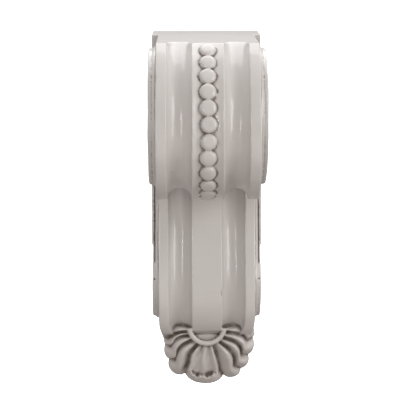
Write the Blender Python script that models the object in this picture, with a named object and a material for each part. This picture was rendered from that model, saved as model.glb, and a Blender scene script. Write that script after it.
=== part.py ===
"""Scroll corbel: a carved and painted bracket, one solid piece.

World frame: +Z is up and the front looks along -Y. The flat back stands in the plane Y = 0, against
the wall, and the origin is the middle of that back. A side outline is a list of (reach, height)
points: reach is the distance out from the wall, height is Z, both in millimetres.
"""

import math

import bmesh
import bpy
from mathutils import Matrix, Vector
from mathutils.geometry import interpolate_bezier

MM = 0.001
NAME = "scroll_corbel"

# Overall sizes, in millimetres
DEPTH = 231.0
BLOCK_WIDTH = 112.0
RIBBON_WIDTH = 99.0
TOP = 174.5
# Each piece is first built this far past the wall's plane, then all are cut off flat.
BODY_PAST_WALL = 4.0
BLOCK_PAST_WALL = 5.0
LEAF_PAST_WALL = 6.0

# The fluted front: fillet, cove, middle band, cove, fillet
FILLET_WIDTH = 10.2
COVE_WIDTH = 24.0
COVE_DEPTH = 10.8
BAND_WIDTH = RIBBON_WIDTH - 2 * (FILLET_WIDTH + COVE_WIDTH)
COVE_LIFT = 1.2
CHANNEL_DEPTH = 3.0
CHANNEL_LIFT = 3.0
ARRIS = 0.8
# How far the cutters run on past the ends of the ribbon's face, and on into the crease
FLUTE_OVERRUN = 30.0
CREASE_OVERRUN = 11.0
# The neck's coves grow shallower over this last stretch of the face, down to this share of their size.
COVE_RUN_OUT = 26.0
COVE_RUN_OUT_SHARE = 0.62

# The upper volute: a wide arc above its foremost level, then two tighter ones that curl under
VOLUTE_LEVEL = 80.0
BROW_RADIUS = 112.0
CURL_RADIUS = 55.5
TUCK_RADIUS = 41.5
TUCK_TURN = math.radians(72)

# The neck and the lower scroll, each stretch a Bezier of two ends and two handles
CREASE = (127.5, 52.0)
NECK = (110.0, 6.0)
SCROLL_FRONT = (128.5, -90.0)
SCROLL_FOOT = (100.0, -134.5)
CREASE_HANDLE = (114.5, 42.0)
NECK_HANDLE_ABOVE = (110.0, 22.0)
NECK_HANDLE_BELOW = (110.0, -30.0)
FRONT_HANDLE_ABOVE = (128.5, -55.0)
FRONT_HANDLE_BELOW = (128.5, -115.0)
FOOT_HANDLE = (118.0, -134.5)

# Beads down the middle of the volute
BEAD_DIAMETER = 15.6
BEAD_START = 9.0
BEAD_PITCH = 16.05
BEAD_HEIGHT = 5.2
BEAD_COUNT = 15

# Raised carving on both flanks: a block at the wall, a disc on each scroll and a band between them
BLOCK_REACH = 62.0
DISC_WIDTH = 114.0
FLANK_BAND_WIDTH = 110.0
UPPER_DISC_CENTRE = (143.0, 100.2)
UPPER_DISC_RADIUS = 66.8
LOWER_DISC_CENTRE = (77.0, -80.0)
LOWER_DISC_RADIUS = 39.0
BAND_START = (93.0, 62.0)
BAND_START_HANDLE = (76.0, 20.0)
BAND_END_HANDLE = (97.0, -40.0)
BAND_END = (115.0, -72.0)

# The groove that winds from one eye to the other, and the round eyes
GROOVE_RADIUS = 4.6
GROOVE_END_RADIUS = 2.6
UPPER_GROOVE_RADIUS = 53.0
LOWER_GROOVE_RADIUS = 30.0
UPPER_GROOVE_TURNS = 1.75
LOWER_GROOVE_TURNS = 1.5
GROOVE_WAIST = (76.0, 2.0)
GROOVE_HANDLE = 34.0
UPPER_EYE_RADIUS = 12.0
LOWER_EYE_RADIUS = 8.5
EYE_HEIGHT = 2.0

# The collar and the spread leaf under the lower scroll
LEAF_CENTRE_HEIGHT = -124.0
LEAF_REACH = 113.0
LEAF_SLANT = 0.28
LEAF_ROOT = 12.0
LEAF_WALL_SHARE = 0.8
LEAF_SHOULDER = 6.0
SIDE_RECESS = 8.0
SIDE_RECESS_START = 62.0
SIDE_RECESS_SPAN = 32.0
COLLAR_HEIGHT = -121.0
COLLAR_RADIUS = 18.3
COLLAR_THICKNESS = 5.4
COLLAR_REACH = 117.0
COLLAR_HALF_TURN = 84.0
BUTTON_RADIUS = 14.0
BUTTON_REACH = 108.0
BUTTON_RISE = 6.0
# The valleys between the lobes from left to right: the angle from straight down and the distance from
# the leaf's centre where each ends, and how far it swings outwards halfway and inwards near its end
VALLEYS = (
    (-95.0, 42.0, 0.0, 0.0),
    (-77.0, 46.0, 3.0, 2.0),
    (-67.0, 46.3, 6.0, 4.0),
    (-49.0, 50.7, 6.0, 5.0),
    (-25.0, 52.6, 8.0, -3.0),
    (19.0, 52.3, 1.0, 1.0),
    (39.0, 54.8, 6.0, 4.0),
    (56.0, 51.1, 7.0, 5.0),
    (78.0, 48.0, 1.0, 6.0),
    (94.0, 44.0, 0.0, 0.0),
)
# The lobes between those valleys: the distance of the tip, and where the crest lies as a share of the
# width, from the valley nearer the middle, at the collar and at the tip
LOBES = (
    (46.5, 0.40, 0.40),
    (47.0, 0.25, 0.20),
    (52.0, 0.30, 0.15),
    (60.0, 0.50, 0.30),
    (60.5, 0.50, 0.50),
    (60.5, 0.70, 0.60),
    (58.0, 0.45, 0.50),
    (53.5, 0.40, 0.40),
    (50.5, 0.35, 0.35),
)
MIDDLE_LOBE = 4
LEAF_RELIEF = 9.5
LEAF_CROWN = 2.5
TIP_ROLL = 9.0
TIP_ROLL_START = 0.72
LIP_RISE = 13.0
LIP_START = 0.8
# Where the leaf's surface is sampled: across a side lobe, across the middle one, and along them all
SIDE_COLUMNS = (0.0, 0.2, 0.4, 0.7)
MIDDLE_COLUMNS = (0.0, 0.06, 0.13, 0.3, 0.5, 0.7, 0.87, 0.94)
LEAF_ROWS = (0.0, 0.15, 0.35, 0.55, 0.7, 0.79, 0.86, 0.94, 1.0)

PAINT_COLOUR = (0.565, 0.533, 0.509, 1.0)
PAINT_ROUGHNESS = 0.42

# How finely round stretches are divided
ARC_STEP = math.radians(8)
BEZIER_STEPS = 7
BEAD_SEGMENTS = 12
DISC_SEGMENTS = 44
SMOOTH_ANGLE = math.radians(35)
WELD = 0.00001


def clear_scene():
    for obj in list(bpy.data.objects):
        bpy.data.objects.remove(obj)


def new_collection(name, is_guide=False):
    collection = bpy.data.collections.new(name)
    collection.hide_render = is_guide
    bpy.context.scene.collection.children.link(collection)
    return collection


def arc(centre, radius, start, turn):
    """Points of an arc; angles are measured from the reach axis towards +Z."""
    steps = max(2, round(abs(turn) / ARC_STEP))
    return [
        (
            centre[0] + radius * math.cos(start + turn * step / steps),
            centre[1] + radius * math.sin(start + turn * step / steps),
        )
        for step in range(steps + 1)
    ]


def bezier(start, start_handle, end_handle, end, steps=BEZIER_STEPS):
    knots = [Vector((*point, 0.0)) for point in (start, start_handle, end_handle, end)]
    return [(point.x, point.y) for point in interpolate_bezier(*knots, steps + 1)]


def volute_line():
    """The ribbon's face from the front edge of the top, round the volute, to the crease under it."""
    brow_centre = (DEPTH - BROW_RADIUS, VOLUTE_LEVEL)
    brow_angle = math.asin((TOP - VOLUTE_LEVEL) / BROW_RADIUS)
    curl_centre = (DEPTH - CURL_RADIUS, VOLUTE_LEVEL)
    tuck_centre = (curl_centre[0], VOLUTE_LEVEL - CURL_RADIUS + TUCK_RADIUS)
    brow = arc(brow_centre, BROW_RADIUS, brow_angle, -brow_angle)
    curl = arc(curl_centre, CURL_RADIUS, 0.0, -math.pi / 2)
    tuck = arc(tuck_centre, TUCK_RADIUS, -math.pi / 2, -TUCK_TURN)
    return brow + curl[1:] + tuck[1:]


def neck_line():
    """The ribbon's face from the crease, down the neck and round the front of the lower scroll."""
    upper = bezier(CREASE, CREASE_HANDLE, NECK_HANDLE_ABOVE, NECK)
    middle = bezier(NECK, NECK_HANDLE_BELOW, FRONT_HANDLE_ABOVE, SCROLL_FRONT)
    lower = bezier(SCROLL_FRONT, FRONT_HANDLE_BELOW, FOOT_HANDLE, SCROLL_FOOT)
    return upper + middle[1:] + lower[1:]


def lerp(start, end, share):
    return start + (end - start) * share


def smooth(share):
    """Rises from 0 to 1 with level ends, and stays there outside that range."""
    share = min(max(share, 0.0), 1.0)
    return share * share * (3 - 2 * share)


def bump(value, middle, half_width):
    """1 at the middle, falling smoothly to 0 at this distance from it."""
    return smooth(1 - abs(value - middle) / half_width)


def rolled(share):
    """Falls from 0 to -1 as a quarter circle."""
    return math.sqrt(1 - min(max(share, 0.0), 1.0) ** 2) - 1


def to_world(point, x=0.0):
    return Vector((x * MM, -point[0] * MM, point[1] * MM))


def mesh_from_curve(curve_object, collection):
    """The curve as one closed mesh object, its caps welded to its sides."""
    bpy.context.view_layer.update()
    depsgraph = bpy.context.evaluated_depsgraph_get()
    mesh = bpy.data.meshes.new_from_object(curve_object.evaluated_get(depsgraph))
    mesh.transform(curve_object.matrix_world)
    name = curve_object.name
    bpy.data.objects.remove(curve_object)
    return add_mesh(name, mesh, collection)


def add_mesh(name, mesh, collection):
    """Links a mesh as a guide object, welded, with its faces pointing out."""
    shape = bmesh.new()
    shape.from_mesh(mesh)
    bmesh.ops.remove_doubles(shape, verts=shape.verts, dist=WELD)
    bmesh.ops.recalc_face_normals(shape, faces=shape.faces)
    shape.to_mesh(mesh)
    shape.free()
    mesh.name = name
    obj = bpy.data.objects.new(name, mesh)
    obj.hide_render = True
    obj.display_type = "WIRE"
    collection.objects.link(obj)
    return obj


def extruded_outline(name, outline, half_width, collection):
    """A flat shape in the side view, extruded to both sides of the middle plane."""
    data = bpy.data.curves.new(name, "CURVE")
    data.dimensions = "2D"
    data.fill_mode = "BOTH"
    data.extrude = half_width * MM
    spline = data.splines.new("POLY")
    spline.points.add(len(outline) - 1)
    for point, (reach, height) in zip(spline.points, outline):
        point.co = (-reach * MM, height * MM, 0.0, 1.0)
    spline.use_cyclic_u = True
    obj = bpy.data.objects.new(name, data)
    # The curve's own X becomes the world's Y and its Y becomes the world's Z.
    obj.matrix_world = Matrix(((0, 0, 1, 0), (1, 0, 0, 0), (0, 1, 0, 0), (0, 0, 0, 1)))
    collection.objects.link(obj)
    return mesh_from_curve(obj, collection)


def tube(name, points, radii, collection, sides=2, stretch=1.0):
    """A round rod through 3-D points, its radius given at each; stretch widens it along X."""
    data = bpy.data.curves.new(name, "CURVE")
    data.dimensions = "3D"
    data.bevel_depth = MM
    data.bevel_resolution = sides
    data.use_fill_caps = True
    spline = data.splines.new("POLY")
    spline.points.add(len(points) - 1)
    middle_x = sum(point.x for point in points) / len(points)
    for knot, point, radius in zip(spline.points, points, radii):
        knot.co = ((point.x - middle_x) / stretch, point.y, point.z, 1.0)
        knot.radius = radius
    obj = bpy.data.objects.new(name, data)
    obj.matrix_world = Matrix.Translation((middle_x, 0, 0)) @ Matrix.Diagonal((stretch, 1, 1, 1))
    collection.objects.link(obj)
    return mesh_from_curve(obj, collection)


def ball(name, place, size, tilt, collection, segments=BEAD_SEGMENTS):
    """A flattened sphere; tilt turns it about X, from lying in the wall's plane."""
    shape = bmesh.new()
    bmesh.ops.create_uvsphere(shape, u_segments=segments, v_segments=segments // 2, radius=0.5)
    mesh = bpy.data.meshes.new(name)
    shape.to_mesh(mesh)
    shape.free()
    # The sphere's poles point along its thin axis, out of the surface that it sits on.
    mesh.transform(
        Matrix.Translation(place)
        @ Matrix.Rotation(tilt, 4, "X")
        @ Matrix.Diagonal((size[0] * MM, size[1] * MM, size[2] * MM, 1))
    )
    return add_mesh(name, mesh, collection)


def disc(name, centre, radius, start_x, end_x, collection):
    """A short cylinder lying along X, seen round in the side view."""
    shape = bmesh.new()
    bmesh.ops.create_cone(
        shape,
        cap_ends=True,
        segments=DISC_SEGMENTS,
        radius1=radius * MM,
        radius2=radius * MM,
        depth=abs(end_x - start_x) * MM,
    )
    mesh = bpy.data.meshes.new(name)
    shape.to_mesh(mesh)
    shape.free()
    mesh.transform(
        Matrix.Translation(to_world(centre, (start_x + end_x) / 2))
        @ Matrix.Rotation(math.pi / 2, 4, "Y")
    )
    return add_mesh(name, mesh, collection)


def box(name, low, high, collection):
    shape = bmesh.new()
    bmesh.ops.create_cube(shape, size=1.0)
    mesh = bpy.data.meshes.new(name)
    shape.to_mesh(mesh)
    shape.free()
    low = Vector(low) * MM
    high = Vector(high) * MM
    mesh.transform(Matrix.Translation((low + high) / 2) @ Matrix.Diagonal((*(high - low), 1)))
    return add_mesh(name, mesh, collection)


def ribbon_body(collection):
    """The whole bracket's section, without its carving."""
    back = -BODY_PAST_WALL
    outline = [(back, TOP)] + volute_line() + neck_line() + [(back, SCROLL_FOOT[1])]
    return extruded_outline(NAME, outline, RIBBON_WIDTH / 2, collection)


def offset_line(line, distance):
    """The line moved square to itself, to the left of its run."""
    moved = []
    for index, point in enumerate(line):
        before = line[max(index - 1, 0)]
        after = line[min(index + 1, len(line) - 1)]
        run = (Vector(after) - Vector(before)).normalized()
        moved.append((point[0] - run.y * distance, point[1] + run.x * distance))
    return moved


def lengthened(line, start, end):
    """The line with a straight stretch added before its first point and after its last."""
    first = Vector(line[0]) + (Vector(line[0]) - Vector(line[1])).normalized() * start
    last = Vector(line[-1]) + (Vector(line[-1]) - Vector(line[-2])).normalized() * end
    return [tuple(first)] + list(line) + [tuple(last)]


def run_out(line):
    """The neck's coves at each point of their line, as a share of their full size."""
    shares = []
    for index in range(len(line)):
        beyond = sum(math.dist(*pair) for pair in zip(line[index:], line[index + 1 :]))
        shares.append(lerp(COVE_RUN_OUT_SHARE, 1.0, smooth((beyond - FLUTE_OVERRUN) / COVE_RUN_OUT)))
    return shares


def flute(name, line, x, width, depth, lift, collection, shares=None):
    """An oval rod that cuts a hollow of this width and depth; its axis lies above the surface."""
    tool_depth = depth + lift
    half_chord = math.sqrt(1 - (lift / tool_depth) ** 2)
    axis = offset_line(line, lift)
    points = [to_world(point, x) for point in axis]
    stretch = width / 2 / half_chord / tool_depth
    radii = [tool_depth * share for share in shares or [1.0] * len(points)]
    tube(name, points, radii, collection, sides=3, stretch=stretch)


def flute_cutters(collection):
    """Two coves down each stretch of the ribbon, and the shallow channel under the beads."""
    cove_x = BAND_WIDTH / 2 + COVE_WIDTH / 2
    cove = (COVE_WIDTH, COVE_DEPTH, COVE_LIFT, collection)
    volute = lengthened(volute_line(), FLUTE_OVERRUN, CREASE_OVERRUN)
    neck = lengthened(neck_line(), CREASE_OVERRUN, FLUTE_OVERRUN)
    for side, x in (("left", -cove_x), ("right", cove_x)):
        flute(f"cove_volute_{side}", volute, x, *cove)
        flute(f"cove_neck_{side}", neck, x, *cove, run_out(neck))
    channel_width = BAND_WIDTH - 2 * ARRIS
    channel_line = lengthened(volute_line(), FLUTE_OVERRUN, CREASE_OVERRUN / 2)
    flute("bead_channel", channel_line, 0.0, channel_width, CHANNEL_DEPTH, CHANNEL_LIFT, collection)


def walk(line, distance):
    """The point this far along the line, and the line's direction there."""
    for start, end in zip(line, line[1:]):
        run = Vector(end) - Vector(start)
        if distance <= run.length:
            return Vector(start) + run.normalized() * distance, run.normalized()
        distance -= run.length
    return Vector(line[-1]), run.normalized()


def beads(collection):
    for index in range(BEAD_COUNT):
        point, run = walk(volute_line(), BEAD_START + BEAD_PITCH * index)
        outward = Vector((-run.y, run.x))
        seat = point - outward * CHANNEL_DEPTH
        tilt = math.atan2(outward.x, outward.y)
        size = (BEAD_DIAMETER, BEAD_DIAMETER, 2 * BEAD_HEIGHT)
        ball(f"bead_{index + 1:02}", to_world(seat), size, tilt, collection)


def flank_relief(collection):
    """The raised carving that widens the ribbon's body to the full width on both sides."""
    block_half = BLOCK_WIDTH / 2
    disc_half = DISC_WIDTH / 2
    foot = LOWER_DISC_CENTRE[1] - LOWER_DISC_RADIUS
    box("wall_block", (-block_half, -BLOCK_REACH, foot), (block_half, BLOCK_PAST_WALL, TOP), collection)
    disc("upper_disc", UPPER_DISC_CENTRE, UPPER_DISC_RADIUS, -disc_half, disc_half, collection)
    disc("lower_disc", LOWER_DISC_CENTRE, LOWER_DISC_RADIUS, -disc_half, disc_half, collection)
    edge = bezier(BAND_START, BAND_START_HANDLE, BAND_END_HANDLE, BAND_END)
    inner_top = (BLOCK_REACH / 2, BAND_START[1])
    inner_foot = (BLOCK_REACH / 2, LOWER_DISC_CENTRE[1])
    outline = [inner_top] + edge + [inner_foot]
    extruded_outline("flank_band", outline, FLANK_BAND_WIDTH / 2, collection)


def spiral(centre, outer_radius, inner_radius, start, turns):
    """A scroll line wound inwards from its outer end; positive turns run towards +Z from the front."""
    steps = round(abs(turns) * 2 * math.pi / (2.4 * ARC_STEP))
    points = []
    for step in range(steps + 1):
        share = step / steps
        radius = outer_radius * (inner_radius / outer_radius) ** share
        angle = start + turns * 2 * math.pi * share
        points.append((centre[0] + radius * math.cos(angle), centre[1] + radius * math.sin(angle)))
    return points


def scroll_groove_line():
    """From the upper eye outwards, down the band at the back and round into the lower eye."""
    upper = spiral(
        UPPER_DISC_CENTRE,
        UPPER_GROOVE_RADIUS,
        UPPER_EYE_RADIUS + GROOVE_END_RADIUS,
        math.pi,
        -UPPER_GROOVE_TURNS,
    )
    lower = spiral(
        LOWER_DISC_CENTRE,
        LOWER_GROOVE_RADIUS,
        LOWER_EYE_RADIUS + GROOVE_END_RADIUS,
        0.0,
        -LOWER_GROOVE_TURNS,
    )
    start = upper[0]
    end = lower[0]
    waist_above = (GROOVE_WAIST[0], GROOVE_WAIST[1] + GROOVE_HANDLE)
    waist_below = (GROOVE_WAIST[0], GROOVE_WAIST[1] - GROOVE_HANDLE)
    fall = bezier(start, (start[0], start[1] - GROOVE_HANDLE), waist_above, GROOVE_WAIST)
    rise = bezier(GROOVE_WAIST, waist_below, (end[0], end[1] + GROOVE_HANDLE), end)
    return upper[::-1] + fall[1:] + rise[1:-1] + lower


def groove_cutters(collection):
    line = scroll_groove_line()
    last = len(line) - 1
    radii = []
    for index in range(len(line)):
        share = math.sin(math.pi * index / last) ** 0.5
        radii.append(GROOVE_END_RADIUS + (GROOVE_RADIUS - GROOVE_END_RADIUS) * share)
    for side, sign in (("left", -1), ("right", 1)):
        points = [to_world(point, sign * DISC_WIDTH / 2) for point in line]
        tube(f"scroll_groove_{side}", points, radii, collection, sides=0)


def eyes(collection):
    """A round button at the heart of each scroll, a little proud of the disc's face."""
    for side, sign in (("left", -1), ("right", 1)):
        for place, centre, radius in (
            ("upper", UPPER_DISC_CENTRE, UPPER_EYE_RADIUS),
            ("lower", LOWER_DISC_CENTRE, LOWER_EYE_RADIUS),
        ):
            button = ball(
                f"eye_{place}_{side}",
                Vector((0, 0, 0)),
                (2 * radius, 2 * radius, 4 * EYE_HEIGHT),
                0.0,
                collection,
                segments=16,
            )
            middle = to_world(centre, sign * (DISC_WIDTH / 2 - EYE_HEIGHT))
            button.data.transform(Matrix.Translation(middle) @ Matrix.Rotation(math.pi / 2, 4, "Y"))


def round_point(centre_height, degrees, distance, reach):
    """A point this far from a centre on the front, at an angle from straight down."""
    angle = math.radians(degrees)
    height = centre_height - math.cos(angle) * distance
    return to_world((reach, height), math.sin(angle) * distance)


def leaf_point(degrees, distance, reach):
    """A point of the leaf's face; what lies further back hangs a little lower."""
    droop = (LEAF_REACH - reach) * LEAF_SLANT
    return round_point(LEAF_CENTRE_HEIGHT - droop, degrees, distance, reach)


def valley_angle(valley, along):
    """The angle of a valley's floor this share of the way from the collar to its end."""
    angle, _, outwards, inwards = valley
    swing = outwards * bump(along, 0.44, 0.42) - inwards * bump(along, 0.82, 0.18)
    return angle + math.copysign(swing, angle * swing)


def side_relief(lobe, across, along):
    """Height of a side lobe between its valleys, 0 to 1: a crest with one short and one long flank."""
    crest = lerp(lobe[1], lobe[2], along)
    if across < crest:
        return smooth(across / crest)
    return 1 - ((across - crest) / (1 - crest)) ** 1.4


def middle_relief(across):
    """Height of the middle lobe: raised edges, a ridge down its middle and a hollow each side of it."""
    to_edge = min(across, 1 - across)
    edge_rib = 0.45 * bump(to_edge, 0.13, 0.15)
    ridge = 0.28 * bump(across, 0.5, 0.15)
    return smooth(to_edge / 0.11) * (0.62 + edge_rib + ridge)


def middle_lip(across, along):
    """Rise of the middle lobe's tip: a deep cut, then a lip turned forward."""
    to_edge = min(across, 1 - across)
    cut = bump(along, LIP_START, 0.08) * smooth((to_edge - 0.14) / 0.1)
    lip = smooth((along - LIP_START) / 0.06) * smooth((to_edge + 0.04) / 0.3)
    return LIP_RISE * lip - 5.0 * cut - 3.0 * smooth(along / 0.7)


def leaf_surface(index, across, along):
    """A point of this lobe: across runs from its left valley to its right, along from root to tip."""
    left, right = VALLEYS[index], VALLEYS[index + 1]
    lobe = LOBES[index]
    degrees = lerp(valley_angle(left, along), valley_angle(right, along), across)
    edge = lerp(left[1], right[1], across)
    bulge = lobe[0] - (left[1] + right[1]) / 2
    outline = edge + bulge * math.sqrt(max(0.0, 1 - (2 * across - 1) ** 2))
    distance = lerp(LEAF_ROOT, outline, along)
    reach = LEAF_REACH + LEAF_CROWN * bump(along, 0.5, 0.5)
    reach += TIP_ROLL * rolled((along - TIP_ROLL_START) / (1 - TIP_ROLL_START))
    reach -= SIDE_RECESS * smooth((abs(degrees) - SIDE_RECESS_START) / SIDE_RECESS_SPAN)
    if index == MIDDLE_LOBE:
        on_lip = smooth((along - LIP_START) / 0.06)
        flat = smooth(min(across, 1 - across) / 0.12)
        height = lerp(middle_relief(across), 0.6 * flat, on_lip)
        reach += middle_lip(across, along)
    else:
        from_middle = 1 - across if index < MIDDLE_LOBE else across
        height = side_relief(lobe, from_middle, along)
    fade = smooth(along / 0.35) * lerp(1.0, 0.7, smooth((along - 0.8) / 0.2))
    reach += LEAF_RELIEF * fade * (height - 0.6)
    return degrees, distance, reach


def leaf_columns():
    """Places across the leaf from its left end to its right: the lobe's index and the share across it."""
    places = []
    for index in range(len(LOBES)):
        if index == MIDDLE_LOBE:
            shares = MIDDLE_COLUMNS
        elif index > MIDDLE_LOBE:
            shares = SIDE_COLUMNS
        else:
            shares = [0.0] + [1 - share for share in SIDE_COLUMNS[:0:-1]]
        places += [(index, share) for share in shares]
    return places + [(len(LOBES) - 1, 1.0)]


def leaf(collection):
    """The leaf as one closed loft, its edge run back to the wall as a fluted underside."""
    shape = bmesh.new()
    rings = []
    for index, across in leaf_columns():
        column = [leaf_surface(index, across, along) for along in LEAF_ROWS]
        points = [leaf_point(*point) for point in column]
        degrees, distance, _ = column[-1]
        points.append(points[-1] - to_world((LEAF_SHOULDER, 0.0)))
        wall_distance = distance * LEAF_WALL_SHARE
        points.append(round_point(LEAF_CENTRE_HEIGHT, degrees, wall_distance, -LEAF_PAST_WALL))
        rings.append([shape.verts.new(point) for point in points])
    for ring, following in zip(rings, rings[1:] + rings[:1]):
        for row in range(len(ring) - 1):
            shape.faces.new((ring[row], ring[row + 1], following[row + 1], following[row]))
    shape.faces.new([ring[0] for ring in rings])
    shape.faces.new([ring[-1] for ring in rings][::-1])
    mesh = bpy.data.meshes.new("leaf")
    shape.to_mesh(mesh)
    shape.free()
    add_mesh("leaf", mesh, collection)


def collar(collection):
    """The ring that the leaf springs from, closed off above by the scroll, and the button inside it."""
    points = []
    steps = 16
    for step in range(steps + 1):
        degrees = lerp(-COLLAR_HALF_TURN, COLLAR_HALF_TURN, step / steps)
        points.append(round_point(COLLAR_HEIGHT, degrees, COLLAR_RADIUS, COLLAR_REACH))
    tube("collar", points, [COLLAR_THICKNESS / 2] * (steps + 1), collection)
    place = to_world((BUTTON_REACH, COLLAR_HEIGHT))
    size = (2 * BUTTON_RADIUS, 2 * BUTTON_RADIUS, 2 * BUTTON_RISE)
    ball("collar_button", place, size, math.pi / 2, collection, segments=16)


def add_boolean(body, name, operation, collection):
    modifier = body.modifiers.new(name, "BOOLEAN")
    modifier.operation = operation
    modifier.operand_type = "COLLECTION"
    modifier.collection = collection
    modifier.solver = "MANIFOLD"


def paint(body):
    material = bpy.data.materials.new("warm_grey_paint")
    material.use_nodes = True
    shader = material.node_tree.nodes["Principled BSDF"]
    shader.inputs["Base Color"].default_value = PAINT_COLOUR
    shader.inputs["Roughness"].default_value = PAINT_ROUGHNESS
    body.data.materials.clear()
    body.data.materials.append(material)


def build():
    clear_scene()
    parts = new_collection(NAME)
    relief = new_collection("flank_relief", is_guide=True)
    cuts = new_collection("flute_and_groove_cutters", is_guide=True)
    carving = new_collection("raised_carving", is_guide=True)
    trim = new_collection("wall_trim", is_guide=True)

    body = ribbon_body(parts)
    body.hide_render = False
    body.display_type = "TEXTURED"
    flank_relief(relief)
    flute_cutters(cuts)
    groove_cutters(cuts)
    beads(carving)
    eyes(carving)
    leaf(carving)
    collar(carving)
    box("behind_wall", (-BLOCK_WIDTH, 0, -2 * TOP), (BLOCK_WIDTH, 10 * LEAF_PAST_WALL, 2 * TOP), trim)

    add_boolean(body, "widen flanks", "UNION", relief)
    add_boolean(body, "cut flutes", "DIFFERENCE", cuts)
    add_boolean(body, "raise carving", "UNION", carving)
    add_boolean(body, "flatten back", "DIFFERENCE", trim)
    body.data.shade_smooth()
    body.data.set_sharp_from_angle(angle=SMOOTH_ANGLE)
    paint(body)


build()
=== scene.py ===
"""Looks of the scroll corbel: the finely carved surface, its paint and glaze, and the studio.

World frame, as in the model: +Z is up, the front looks along -Y, the flat back is the plane Y = 0.
Sizes are millimetres and are turned into metres by MM. A side outline is a list of (reach, height)
points: reach is the distance out from the wall, height is Z.
"""

import math
import random

import bmesh
import bpy
import numpy as np
from mathutils import Euler, Matrix, Vector, noise
from mathutils.bvhtree import BVHTree
from mathutils.geometry import interpolate_bezier


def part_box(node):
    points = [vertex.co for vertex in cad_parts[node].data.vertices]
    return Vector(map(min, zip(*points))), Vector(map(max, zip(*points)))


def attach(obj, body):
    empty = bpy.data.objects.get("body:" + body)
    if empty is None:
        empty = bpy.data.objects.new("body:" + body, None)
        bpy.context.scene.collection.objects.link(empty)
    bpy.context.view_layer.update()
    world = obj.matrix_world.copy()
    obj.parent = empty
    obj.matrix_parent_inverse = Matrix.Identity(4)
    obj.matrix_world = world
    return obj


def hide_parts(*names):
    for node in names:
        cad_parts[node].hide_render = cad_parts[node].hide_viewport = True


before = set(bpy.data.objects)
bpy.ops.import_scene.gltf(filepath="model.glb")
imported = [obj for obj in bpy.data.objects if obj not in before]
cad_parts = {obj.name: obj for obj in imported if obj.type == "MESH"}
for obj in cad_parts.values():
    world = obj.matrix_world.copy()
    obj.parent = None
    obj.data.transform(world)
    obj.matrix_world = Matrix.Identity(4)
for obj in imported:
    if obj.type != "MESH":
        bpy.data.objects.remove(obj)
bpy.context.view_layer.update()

MM = 0.001
NODE = "scroll_corbel"

# Overall sizes
DEPTH = 231.0
BLOCK_WIDTH = 112.0
RIBBON_WIDTH = 99.0
TOP = 174.5
PAST_WALL = 5.0

# The fluted front: fillet, cove, middle band, cove, fillet
FILLET_WIDTH = 10.2
COVE_WIDTH = 24.0
COVE_DEPTH = 10.8
BAND_WIDTH = RIBBON_WIDTH - 2 * (FILLET_WIDTH + COVE_WIDTH)
COVE_LIFT = 1.2
CHANNEL_DEPTH = 3.0
CHANNEL_LIFT = 3.0
ARRIS = 0.8
FLUTE_OVERRUN = 30.0
CREASE_OVERRUN = 11.0

# The upper volute
VOLUTE_LEVEL = 80.0
BROW_RADIUS = 112.0
CURL_RADIUS = 55.5
TUCK_RADIUS = 41.5
TUCK_TURN = math.radians(72)

# The neck and the lower scroll
CREASE = (127.5, 52.0)
NECK = (110.0, 6.0)
SCROLL_FRONT = (128.5, -90.0)
SCROLL_FOOT = (100.0, -134.5)
CREASE_HANDLE = (114.5, 42.0)
NECK_HANDLE_ABOVE = (110.0, 22.0)
NECK_HANDLE_BELOW = (110.0, -30.0)
FRONT_HANDLE_ABOVE = (128.5, -55.0)
FRONT_HANDLE_BELOW = (128.5, -115.0)
FOOT_HANDLE = (118.0, -134.5)
# The coves of the neck grow shallower over their last stretch, down to this share of their depth.
COVE_RUN_OUT = 26.0
COVE_RUN_OUT_SHARE = 0.62
# The ribbon narrows a little where it curls under at its foot.
FOOT_TAPER_START = -108.0
FOOT_TAPER = 0.085

# Beads down the middle of the volute, each a little different, as carved by hand
BEAD_DIAMETER = 15.2
BEAD_EXTRA_LENGTH = 0.8
BEAD_START = 9.0
BEAD_PITCH = 16.05
BEAD_HEIGHT = 4.5
BEAD_COUNT = 15
BEAD_SQUARENESS = 3.4
BEAD_WANDER = 0.4
BEAD_SEED = 7

# Raised carving on both flanks, with a step round its edge
BLOCK_REACH = 62.0
DISC_WIDTH = 114.0
LOWER_DISC_WIDTH = 112.0
FLANK_BAND_WIDTH = 110.0
# Above the lower disc the band is a little wider.
WIDE_BAND_WIDTH = 113.4
WIDE_BAND_FOOT = -43.0
STEP_WIDTH = 104.5
STEP_OUT = 2.0
UPPER_DISC_CENTRE = (143.0, 100.2)
UPPER_DISC_RADIUS = 66.8
LOWER_DISC_CENTRE = (77.0, -80.0)
LOWER_DISC_RADIUS = 39.0
BAND_START = (93.0, 62.0)
BAND_START_HANDLE = (76.0, 20.0)
BAND_END_HANDLE = (97.0, -40.0)
BAND_END = (115.0, -72.0)

# The groove that winds from one eye to the other, thinner at both ends, and the round eyes
GROOVE_RADIUS = 4.6
GROOVE_END_RADIUS = 2.6
GROOVE_TAPER = 0.5
UPPER_GROOVE_RADIUS = 53.0
LOWER_GROOVE_RADIUS = 30.0
UPPER_GROOVE_TURNS = 1.75
LOWER_GROOVE_TURNS = 1.5
GROOVE_WAIST = (76.0, 2.0)
GROOVE_HANDLE = 34.0
UPPER_EYE_RADIUS = 12.0
LOWER_EYE_RADIUS = 8.5
EYE_HEIGHT = 2.0
EYE_THICKNESS = 4.8

# The collar and the spread leaf under the lower scroll
LEAF_CENTRE_HEIGHT = -124.0
LEAF_REACH = 113.0
LEAF_SLANT = 0.28
LEAF_ROOT = 12.0
LEAF_WALL_SHARE = 0.8
LEAF_SHOULDER = 6.0
SIDE_RECESS = 8.0
SIDE_RECESS_START = 62.0
SIDE_RECESS_SPAN = 32.0
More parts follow.
